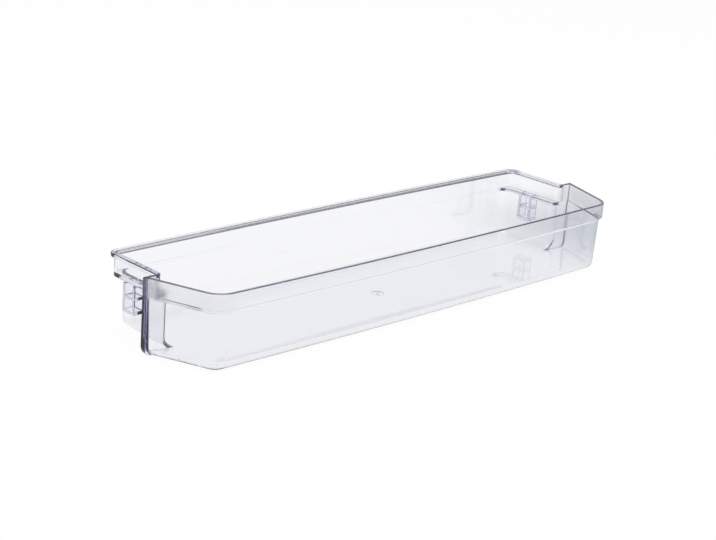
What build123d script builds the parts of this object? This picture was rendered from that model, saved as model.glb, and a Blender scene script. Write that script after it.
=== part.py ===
"""Door shelf of a refrigerator: one clear moulded tray that hangs by a pocket at each end."""
import os
from math import cos, radians, tan

from build123d import *

os.makedirs("parts", exist_ok=True)

# Overall size, with the rim at the top and the floor's underside at height 0.
length = 440.0
depth = 116.4
height = 56.0
wall = 2.4

# Front basket: tapered ends, a bowed front and a collar that stands out round the top.
end_taper = 19.4
front_corner_radius = 16.0
front_bow = 2.9
collar_height = 12.0
shoulder_height = 2.6
collar_step = 2.6
root_step = 0.6
basket_draft = 1.6
foot_radius = 7.0
flange_corner_radius = 8.0

# Back part: a band with a beaded rim, and under the band a pocket for the door's lug at each end.
band_length = 414.6
band_taper = 0.4
band_height = 16.8
pocket_inset = 6.3
pocket_foot_radius = 10.0
pocket_corner_radius = 10.5
back_corner_radius = 6.5
back_bow = 2.2
bend_radius = 3.0
bead_width = 2.6
bead_height = 2.8
bead_edge_radius = 0.8
edge_chamfer = 0.5

# Frame of ribs that stands in each pocket and reaches out nearly to the bead.
rib_thickness = 1.8
rib_frame_width = 12.8
rib_frame_middle = 29.0
rib_frame_drop = 20.0
rib_relief = 0.4

# Gate mark under the floor: a shallow recess with the stub that is left when the sprue is cut.
gate_diameter = 9.0
gate_recess = 0.6
gate_stub_diameter = 2.6

# Sizes that follow from the ones above.
half_length = length / 2
half_depth = depth / 2
band_half = band_length / 2
lean = tan(radians(end_taper))
narrowing = tan(radians(band_taper))
basket_slope = tan(radians(basket_draft))
shoulder_base = height - collar_height - shoulder_height
ledge = height - band_height
rib_cell = (rib_frame_drop - 2 * rib_thickness) / 2
rib_rear_narrowing = narrowing * (rib_frame_middle + rib_frame_width / 2)

# How far shapes run into their neighbours before they are joined, and the curve that leads them in.
run_on = 30.0
lap = 0.5
ease_radius = pocket_foot_radius + 2.5


def front_plan(step, shrink):
    """Outline of the basket, set back by step at the front, run on past the flange, drawn in by shrink."""
    root_x = half_length - (root_step if step else 0)
    corner_y = -half_depth + front_bow + step
    corner_x = half_length + lean * corner_y - step / cos(radians(end_taper))
    tail_x = root_x + (root_x - corner_x) / -corner_y * run_on
    with BuildSketch() as plan:
        with BuildLine():
            Line((-tail_x, run_on), (-corner_x, corner_y))
            ThreePointArc((-corner_x, corner_y), (0, corner_y - front_bow), (corner_x, corner_y))
            Line((corner_x, corner_y), (tail_x, run_on))
            Line((tail_x, run_on), (-tail_x, run_on))
        make_face()
        fillet(plan.vertices().group_by(Axis.Y)[0], front_corner_radius - step)
        if shrink:
            offset(amount=-shrink, kind=Kind.INTERSECTION, mode=Mode.REPLACE)
    return plan.sketch


def back_plan(inset, corner, shrink, bend):
    """Outline of the back part, its ends brought in by inset, with its corners and its bend at the flange."""
    corner_y = half_depth - bead_width - back_bow
    root_x = band_half - inset
    corner_x = root_x - narrowing * corner_y
    skirt_x = root_x + (bend + ease_radius + lap if bend else 0)
    with BuildSketch() as plan:
        with BuildLine():
            ThreePointArc((-corner_x, corner_y), (0, corner_y + back_bow), (corner_x, corner_y))
            Line((corner_x, corner_y), (root_x, 0))
            if bend:
                Line((root_x, 0), (skirt_x, 0))
                Line((-skirt_x, 0), (-root_x, 0))
            Polyline((skirt_x, 0), (skirt_x, -run_on), (-skirt_x, -run_on), (-skirt_x, 0))
            Line((-root_x, 0), (-corner_x, corner_y))
        make_face()
        fillet(plan.vertices().group_by(Axis.Y)[-1], corner)
        if bend:
            inner_corners = plan.vertices().filter_by_position(Axis.Y, -lap, lap).sort_by(Axis.X)[1:3]
            fillet(inner_corners, bend)
            skirt_corners = plan.vertices().group_by(Axis.X)
            fillet([v for v in skirt_corners[0] + skirt_corners[-1] if v.Y > -lap], ease_radius)
        if shrink:
            offset(amount=-shrink, kind=Kind.INTERSECTION, mode=Mode.REPLACE)
    return plan.sketch


def basket(inward):
    """The basket in front of the flange as a solid block, or the room inside it when inward is the wall."""
    with BuildPart() as body:
        with BuildSketch(Plane.XY.offset(inward)):
            add(front_plan(collar_step, inward + (shoulder_base - inward) * basket_slope))
        extrude(amount=shoulder_base - inward, taper=-basket_draft)
        fillet(body.edges().group_by(Axis.Z)[0].sort_by(Axis.Y)[:-1], foot_radius - inward)
        with BuildSketch(Plane.XY.offset(shoulder_base)):
            add(front_plan(collar_step, inward))
        with BuildSketch(Plane.XY.offset(shoulder_base + shoulder_height)):
            add(front_plan(0, inward))
        loft(ruled=True)
        with BuildSketch(Plane.XY.offset(shoulder_base + shoulder_height)):
            add(front_plan(0, inward))
        extrude(amount=collar_height + inward)
        split(bisect_by=Plane.XZ.offset(inward), keep=Keep.TOP)
    return body.part


def back(inward):
    """The part behind the flange as a solid block, or the room inside it when inward is the wall."""
    with BuildPart() as body:
        with BuildSketch(Plane.XY.offset(inward)):
            add(back_plan(pocket_inset, pocket_corner_radius, inward, bend_radius))
        extrude(amount=ledge)
        fillet(body.edges().group_by(Axis.Z)[0].sort_by(Axis.Y)[1:], pocket_foot_radius - inward)
        with BuildSketch(Plane.XY.offset(ledge + inward)):
            add(back_plan(0, back_corner_radius, inward, bend_radius))
        extrude(amount=band_height)
        split(bisect_by=Plane.XZ.offset(inward + lap), keep=Keep.BOTTOM)
    return body.part


def flange():
    """The plate across the tray that stops it against the door, with its two lower corners rounded."""
    with BuildPart() as body:
        with BuildSketch(Plane.XZ) as plate:
            Rectangle(length, height, align=(Align.CENTER, Align.MIN))
            fillet(plate.vertices().group_by(Axis.Z)[0], flange_corner_radius)
        extrude(amount=wall)
        with BuildSketch():
            add(front_plan(0, 0))
        extrude(amount=height, mode=Mode.INTERSECT)
    return body.part


def bead():
    """The bead round the outside of the band's rim."""
    with BuildPart() as body:
        with BuildSketch(Plane.XY.offset(height - bead_height)):
            add(back_plan(0, back_corner_radius, -bead_width, 0))
        extrude(amount=bead_height)
        rims = body.edges().group_by(Axis.Z)
        fillet(rims[-1].sort_by(Axis.Y)[1:], bead_edge_radius)
        chamfer(rims[0].sort_by(Axis.Y)[1:], edge_chamfer)
        split(bisect_by=Plane.XZ.offset(lap), keep=Keep.BOTTOM)
    return body.part


def rib_frame():
    """The frame of ribs that fills out the pocket at the +X end: two uprights, a middle and a bottom rib."""
    face_x = band_half + bead_width - rib_rear_narrowing - rib_relief
    seat_x = band_half - pocket_inset - rib_rear_narrowing - wall / 2
    with BuildPart() as body:
        with BuildSketch(Plane.YZ.offset(seat_x)):
            with Locations((rib_frame_middle, ledge - rib_frame_drop / 2)):
                Rectangle(rib_frame_width, rib_frame_drop)
            with Locations((rib_frame_middle, ledge - rib_cell / 2),
                           (rib_frame_middle, ledge - rib_cell * 3 / 2 - rib_thickness)):
                Rectangle(rib_frame_width - 2 * rib_thickness, rib_cell, mode=Mode.SUBTRACT)
        extrude(amount=face_x - seat_x)
    return body.part


outer_basket = basket(0)
outer_back = back(0)
stop_flange = flange()
rim_bead = bead()
basket_room = basket(wall)
back_room = back(wall)
right_ribs = rib_frame()

with BuildPart() as door_shelf:
    add(outer_basket)
    add(stop_flange)
    add(outer_back)
    add(rim_bead)
    add(basket_room, mode=Mode.SUBTRACT)
    add(back_room, mode=Mode.SUBTRACT)
    add(right_ribs)
    add(right_ribs.mirror(Plane.YZ))
    with BuildSketch():
        Circle(gate_diameter / 2)
        Circle(gate_stub_diameter / 2, mode=Mode.SUBTRACT)
    extrude(amount=gate_recess, mode=Mode.SUBTRACT)
    rim = door_shelf.faces().sort_by(Axis.Z)[-1]
    chamfer(rim.edges(), edge_chamfer)

door_shelf.part.label = "door_shelf"
export_step(door_shelf.part, "parts/door_shelf.step")
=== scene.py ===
"""Clear fridge door shelf: one moulded tray on a white light table, seen from its front left."""
from math import cos, radians, sin, tan

import bmesh
import bpy
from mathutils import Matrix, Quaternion, Vector


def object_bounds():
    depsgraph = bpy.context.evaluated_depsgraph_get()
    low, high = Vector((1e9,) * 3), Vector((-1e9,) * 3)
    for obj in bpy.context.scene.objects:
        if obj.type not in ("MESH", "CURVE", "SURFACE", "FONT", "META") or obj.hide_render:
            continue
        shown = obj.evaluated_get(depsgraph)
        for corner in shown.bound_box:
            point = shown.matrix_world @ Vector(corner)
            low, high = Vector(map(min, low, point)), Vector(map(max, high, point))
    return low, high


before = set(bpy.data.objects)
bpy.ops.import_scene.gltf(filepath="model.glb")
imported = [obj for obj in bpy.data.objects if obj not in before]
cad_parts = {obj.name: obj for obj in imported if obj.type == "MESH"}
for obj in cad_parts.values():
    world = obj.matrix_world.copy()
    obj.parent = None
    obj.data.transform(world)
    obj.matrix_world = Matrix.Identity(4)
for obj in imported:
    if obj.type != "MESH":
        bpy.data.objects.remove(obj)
cad_low, cad_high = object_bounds()


# The shelf is one injection moulding in clear polystyrene with a faint blue cast. The mould was polished,
# apart from the collar round the basket, which is satin. The plastic turns blue with depth, and the dark
# blue edges are painted shade in its surface colour.
class Shade:
    """A socket of one node tree, so that shader maths reads as Python."""

    def __init__(self, tree, socket):
        self.tree = tree
        self.socket = socket

    def node(self, kind, settings=None, **sockets):
        """Adds a node, sets its settings and then its sockets, and gives its first output."""
        made = self.tree.nodes.new(kind)
        for name, value in (settings or {}).items():
            setattr(made, name, value)
        for name, value in sockets.items():
            key = int(name[1:]) if name[0] == "_" else name.replace("_", " ")
            if isinstance(value, Shade):
                self.tree.links.new(value.socket, made.inputs[key])
            else:
                made.inputs[key].default_value = value
        return Shade(self.tree, next((s for s in made.outputs if s.enabled), None))

    def output(self, name):
        """Another output of the same node."""
        return Shade(self.tree, self.socket.node.outputs[name])

    def maths(self, operation, first, second):
        """A Math node on two values."""
        return self.node("ShaderNodeMath", {"operation": operation}, _0=first, _1=second)

    def ramp(self, low, high):
        """Runs softly from 0 at low to 1 at high."""
        return self.node("ShaderNodeMapRange", {"interpolation_type": "SMOOTHSTEP"},
                         Value=self, From_Min=low, From_Max=high)

    def blend(self, first, second):
        """The colour first where this is 0 and second where it is 1."""
        return self.node("ShaderNodeMix", {"data_type": "RGBA"}, _0=self, _6=first, _7=second).output(2)

    def __add__(self, other):
        return self.maths("ADD", self, other)

    def __radd__(self, other):
        return self.maths("ADD", other, self)

    def __sub__(self, other):
        return self.maths("SUBTRACT", self, other)

    def __rsub__(self, other):
        return self.maths("SUBTRACT", other, self)

    def __mul__(self, other):
        return self.maths("MULTIPLY", self, other)

    def __rmul__(self, other):
        return self.maths("MULTIPLY", other, self)

    def __abs__(self):
        return self.maths("ABSOLUTE", self, 0.0)


def new_material(name):
    """An empty material and a starting point for its nodes."""
    made = bpy.data.materials.new(name)
    made.use_nodes = True
    made.node_tree.nodes.clear()
    return made, Shade(made.node_tree, None)


# Places on the shelf, from the frame, and which way its surface faces.
rim_top = cad_high[2]
end_reach = cad_high[0]
back_reach = cad_high[1]
front_reach = -cad_low[1]
soft_edge = 0.0002
clear_plastic, start = new_material("clear_plastic")
place = start.node("ShaderNodeTexCoord").output("Object")
parted = start.node("ShaderNodeSeparateXYZ", None, Vector=place)
along, across, up = (parted.output(axis) for axis in "XYZ")
flat = start.node("ShaderNodeNewGeometry").output("True Normal")
facing = start.node("ShaderNodeSeparateXYZ", None, Vector=flat)

# The polish is a little uneven, and the melt left a faint ripple as it flowed in.
haze = start.node("ShaderNodeTexNoise", None, Vector=place, Scale=60.0, Detail=3.0)
flow = start.node("ShaderNodeTexNoise", None, Vector=place, Scale=14.0, Detail=1.0)
ripple = start.node("ShaderNodeBump", None, Strength=0.05, Distance=0.002, Height=flow)

# The collar is satin from its shoulder to the rim, and more so towards the flange at each end.
satin_foot = rim_top - 0.0152
satin_start = end_reach - 0.045
satin_full = end_reach - 0.015
rim_edge = 0.0006
in_front = across.ramp(3 * soft_edge, soft_edge)
satin = up.ramp(satin_foot, satin_foot + rim_edge) * in_front
# The top of the rim over the front half is painted dark as shade.
on_shaded_rim = up.ramp(rim_top - rim_edge, rim_top - rim_edge / 2) * in_front
at_end = abs(along).ramp(satin_start, satin_full)

# The shoulder's slope runs along the bowed front and round its corners. Its inside passes light straight on.
wall = 0.0024
shoulder_top = rim_top - 0.012
shoulder_foot = shoulder_top - 0.0026
front_bow = 0.0029
end_taper = radians(19.4)
corner_blend = 0.0184
slope_start = -front_reach + 0.0202
slope_full = -front_reach + 0.0142
front_half = end_reach - (front_reach - front_bow) * tan(end_taper)
from_front = across + front_reach - front_bow / front_half ** 2 * (along * along)
from_end = cos(end_taper) * (end_reach - abs(along)) + sin(end_taper) * across
from_edge = start.node("ShaderNodeMath", {"operation": "SMOOTH_MIN"},
                       _0=from_front, _1=from_end, _2=corner_blend)
above_foot = up.ramp(shoulder_foot - soft_edge / 2, shoulder_foot)
below_top = up.ramp(shoulder_top + soft_edge / 2, shoulder_top)
inside = (from_edge + up - shoulder_top).ramp(wall / 2 - 2 * soft_edge, wall / 2 + 2 * soft_edge)
inner_slope = above_foot * below_top * inside * across.ramp(slope_start, slope_full)

# The flange's end faces carry light along the plate. They and the step beside each of them are painted dark
# blue as shade.
flange_front = -0.0027
side_start = end_reach - 0.001
step_start = end_reach - 0.0026
by_flange = across.ramp(flange_front, flange_front + soft_edge)
on_shaded_side = abs(along).ramp(side_start, side_start + soft_edge) * by_flange
on_shaded_step = abs(along).ramp(step_start, step_start + soft_edge) * by_flange

# The bead round the back has a painted shade line under its crown, painted darker shade at its corner tips
# and a matt inner edge.
back_start = back_reach - 0.0087
back_full = back_reach - 0.0082
bead_foot = rim_top - 0.0032
bead_crown = rim_top - 0.0018
crown_end = end_reach - 0.018
crown_full = end_reach - 0.02
tip_start = end_reach - 0.017
tip_full = end_reach - 0.014
tip_front = back_reach - 0.0152
tip_back = back_reach - 0.0112
inner_edge = rim_top - 0.0012
upright_start = 0.3
upright_full = 0.2
lean_start = -0.2
lean_full = -0.35
at_back = across.ramp(back_start, back_full)
above_bead_foot = up.ramp(bead_foot, bead_foot + soft_edge)
above_crown = up.ramp(bead_crown, bead_crown + soft_edge)
below_crown = up.ramp(bead_crown, bead_crown - soft_edge)
upright = abs(facing.output("Z")).ramp(upright_start, upright_full)
leans_in = (facing.output("Y") * facing.output("Z")).ramp(lean_start, lean_full)
on_crown = at_back * abs(along).ramp(crown_end, crown_full) * above_crown
bead_shade_line = at_back * upright * above_bead_foot * below_crown
at_shaded_tip = abs(along).ramp(tip_start, tip_full) * across.ramp(tip_front, tip_back) * above_bead_foot
inner_rim = at_back * leans_in * up.ramp(inner_edge, inner_edge + soft_edge)

# Sharp edges and bends get painted shade. They are found by how far the surface turns within a short reach,
# as a cosine.
bend_reach = 0.0014
bend_start = 0.94
bend_full = 0.78
eased = start.node("ShaderNodeBevel", {"samples": 4}, Radius=bend_reach)
turn = start.node("ShaderNodeVectorMath", {"operation": "DOT_PRODUCT"}, _0=eased, _1=flat).output("Value")
on_shaded_bend = abs(turn).ramp(bend_start, bend_full) * (1.0 - on_crown)

# Colours of the clear faces and of the painted shade on the edges, each laid over the ones before it.
shelf_tint = (0.985, 0.986, 0.989, 1)
fresh_tint = (0.999, 0.999, 1.0, 1)
painted_bend_shade = (0.12, 0.13, 0.3, 1)
satin_tint = (0.997, 0.997, 1.0, 1)
painted_rim_shade = (0.1, 0.1, 0.17, 1)
painted_bead_shade = (0.18, 0.18, 0.21, 1)
painted_tip_shade = (0.36, 0.37, 0.52, 1)
painted_step_shade = (0.03, 0.033, 0.11, 1)
painted_side_shade = (0.12, 0.13, 0.34, 1)
tint = haze.blend(shelf_tint, fresh_tint)
tint = on_shaded_bend.blend(tint, painted_bend_shade)
tint = satin.blend(tint, satin_tint)
tint = on_shaded_rim.blend(tint, painted_rim_shade)
tint = bead_shade_line.blend(tint, painted_bead_shade)
tint = at_shaded_tip.blend(tint, painted_tip_shade)
tint = on_shaded_step.blend(tint, painted_step_shade)
tint = on_shaded_side.blend(tint, painted_side_shade)

# Finish of the faces, and the blue that comes with depth.
polish = 0.015
polish_spread = 0.03
front_satin = 0.04
end_satin = 0.19
matt_edge = 0.8
slope_clearness = 0.8
depth_colour = (0.3875, 0.42, 0.6125, 1)
satin_finish = satin * (front_satin + end_satin * at_end)
roughness = polish + polish_spread * haze + satin_finish + matt_edge * inner_rim
body = start.node("ShaderNodeBsdfPrincipled", None, Base_Color=tint, Roughness=roughness, IOR=1.57,
                  Transmission_Weight=1.0, Alpha=1.0 - slope_clearness * inner_slope, Normal=ripple)
depth = start.node("ShaderNodeVolumeAbsorption", None, Color=depth_colour, Density=40.0)
start.node("ShaderNodeOutputMaterial", None, Surface=body, Volume=depth)
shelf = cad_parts["door_shelf"]
shelf.material_slots[0].material = clear_plastic


# Floor and backdrop in one: a round white sheet that lies flat under the shelf and curves up all round.
# It is a light table, so most of its white is its own glow, and the rest is lamplight on its matt face.
# It is dimmer beside the right end, which shows through the shelf but not where the camera sees it bare.
floor_radius = 1.7
cove_radius = 2.6
cove_steps = 16
round_steps = 96
floor_drop = 0.0002
sheet = bmesh.new()
profile = [(0.0, 0.0), (floor_radius, 0.0)]
for step in range(1, cove_steps + 1):
    rise = radians(90 * step / cove_steps)
    profile.append((floor_radius + cove_radius * sin(rise), cove_radius * (1 - cos(rise))))
points = [sheet.verts.new((r, 0, z - floor_drop)) for r, z in profile]
edges = [sheet.edges.new(pair) for pair in zip(points, points[1:])]
bmesh.ops.spin(sheet, geom=points + edges, axis=(0, 0, 1), cent=(0, 0, 0),
               steps=round_steps, angle=radians(360))
bmesh.ops.remove_doubles(sheet, verts=sheet.verts, dist=floor_drop / 10)
bmesh.ops.recalc_face_normals(sheet, faces=sheet.faces)
floor_mesh = bpy.data.meshes.new("floor")
sheet.to_mesh(floor_mesh)
sheet.free()
for face in floor_mesh.polygons:
    face.use_smooth = True
floor = bpy.data.objects.new("floor", floor_mesh)
bpy.context.scene.collection.objects.link(floor)

# The dim patch fades in over each side, from the first place of the pair to the second.
floor_glow = 0.945
floor_colour = (0.07, 0.07, 0.07, 1)
dim_glow = 0.65
dim_colour = (0.91, 0.945, 1, 1)
patch_left = (0.16, 0.28)
patch_right = (0.6, 0.4)
patch_front = (-0.3, -0.15)
patch_back = (0.15, 0.03)
floor_sheet, start = new_material("floor_sheet")
spot = start.node("ShaderNodeSeparateXYZ", None, Vector=start.node("ShaderNodeTexCoord").output("Object"))
right = spot.output("X")
behind = spot.output("Y")
patch_length = right.ramp(*patch_left) * right.ramp(*patch_right)
patch_depth = behind.ramp(*patch_front) * behind.ramp(*patch_back)
bare = start.node("ShaderNodeLightPath").output("Is Camera Ray")
bright = start.node("ShaderNodeEmission", None, Color=(1, 1, 1, 1), Strength=floor_glow)
dim = start.node("ShaderNodeEmission", None, Color=dim_colour, Strength=dim_glow)
dimming = patch_length * patch_depth * (1.0 - bare)
glow = start.node("ShaderNodeMixShader", None, _0=dimming, _1=bright, _2=dim)
matt = start.node("ShaderNodeBsdfDiffuse", None, Color=floor_colour)
lit_sheet = start.node("ShaderNodeAddShader", None, _0=matt, _1=glow)
start.node("ShaderNodeOutputMaterial", None, Surface=lit_sheet)
floor_mesh.materials.append(floor_sheet)


# Studio light: the room round the light table is dim, and one large soft box hangs level over the shelf,
# a little to its front left.
room_level = 0.3
box_size = 1.2
box_watts = 12.0
box_place = Vector((-0.2, -0.2, 1.5))
world = bpy.data.worlds.new("studio")
bpy.context.scene.world = world
world.use_nodes = True
world.node_tree.nodes.clear()
start = Shade(world.node_tree, None)
room = start.node("ShaderNodeBackground", None, Color=(1, 1, 1, 1), Strength=room_level)
start.node("ShaderNodeOutputWorld", None, Surface=room)
soft_box = bpy.data.lights.new("soft_box", "AREA")
soft_box.size = box_size
soft_box.energy = box_watts
box_object = bpy.data.objects.new("soft_box", soft_box)
box_object.location = box_place
bpy.context.scene.collection.objects.link(box_object)


# Camera at the photograph's angle: it stands to the front left, a little above the rim, and leans. Its place
# and its lens were fitted to the rim lines of the photograph.
picture_width = 716
focal_pixels = 1657.9
camera_place = Vector((-0.8459, -0.8111, 0.4218))
camera_heading = radians(45.46)
camera_dip = radians(18.99)
camera_roll = radians(4.59)
lens = bpy.data.cameras.new("camera")
lens.sensor_width = 36.0
lens.lens = focal_pixels / picture_width * lens.sensor_width
camera = bpy.data.objects.new("camera", lens)
bpy.context.scene.collection.objects.link(camera)
ahead = cos(camera_dip)
aim = Vector((sin(camera_heading) * ahead, cos(camera_heading) * ahead, -sin(camera_dip)))
camera.location = camera_place
camera.rotation_mode = "QUATERNION"
camera.rotation_quaternion = aim.to_track_quat("-Z", "Y") @ Quaternion((0, 0, 1), camera_roll)
bpy.context.scene.camera = camera

# Clear plastic needs many bounces before light that runs along its walls comes out.
wall_bounces = 32
mirror_bounces = 16
bpy.context.scene.view_settings.view_transform = "Standard"
bpy.context.scene.cycles.max_bounces = wall_bounces
bpy.context.scene.cycles.transmission_bounces = wall_bounces
bpy.context.scene.cycles.glossy_bounces = mirror_bounces
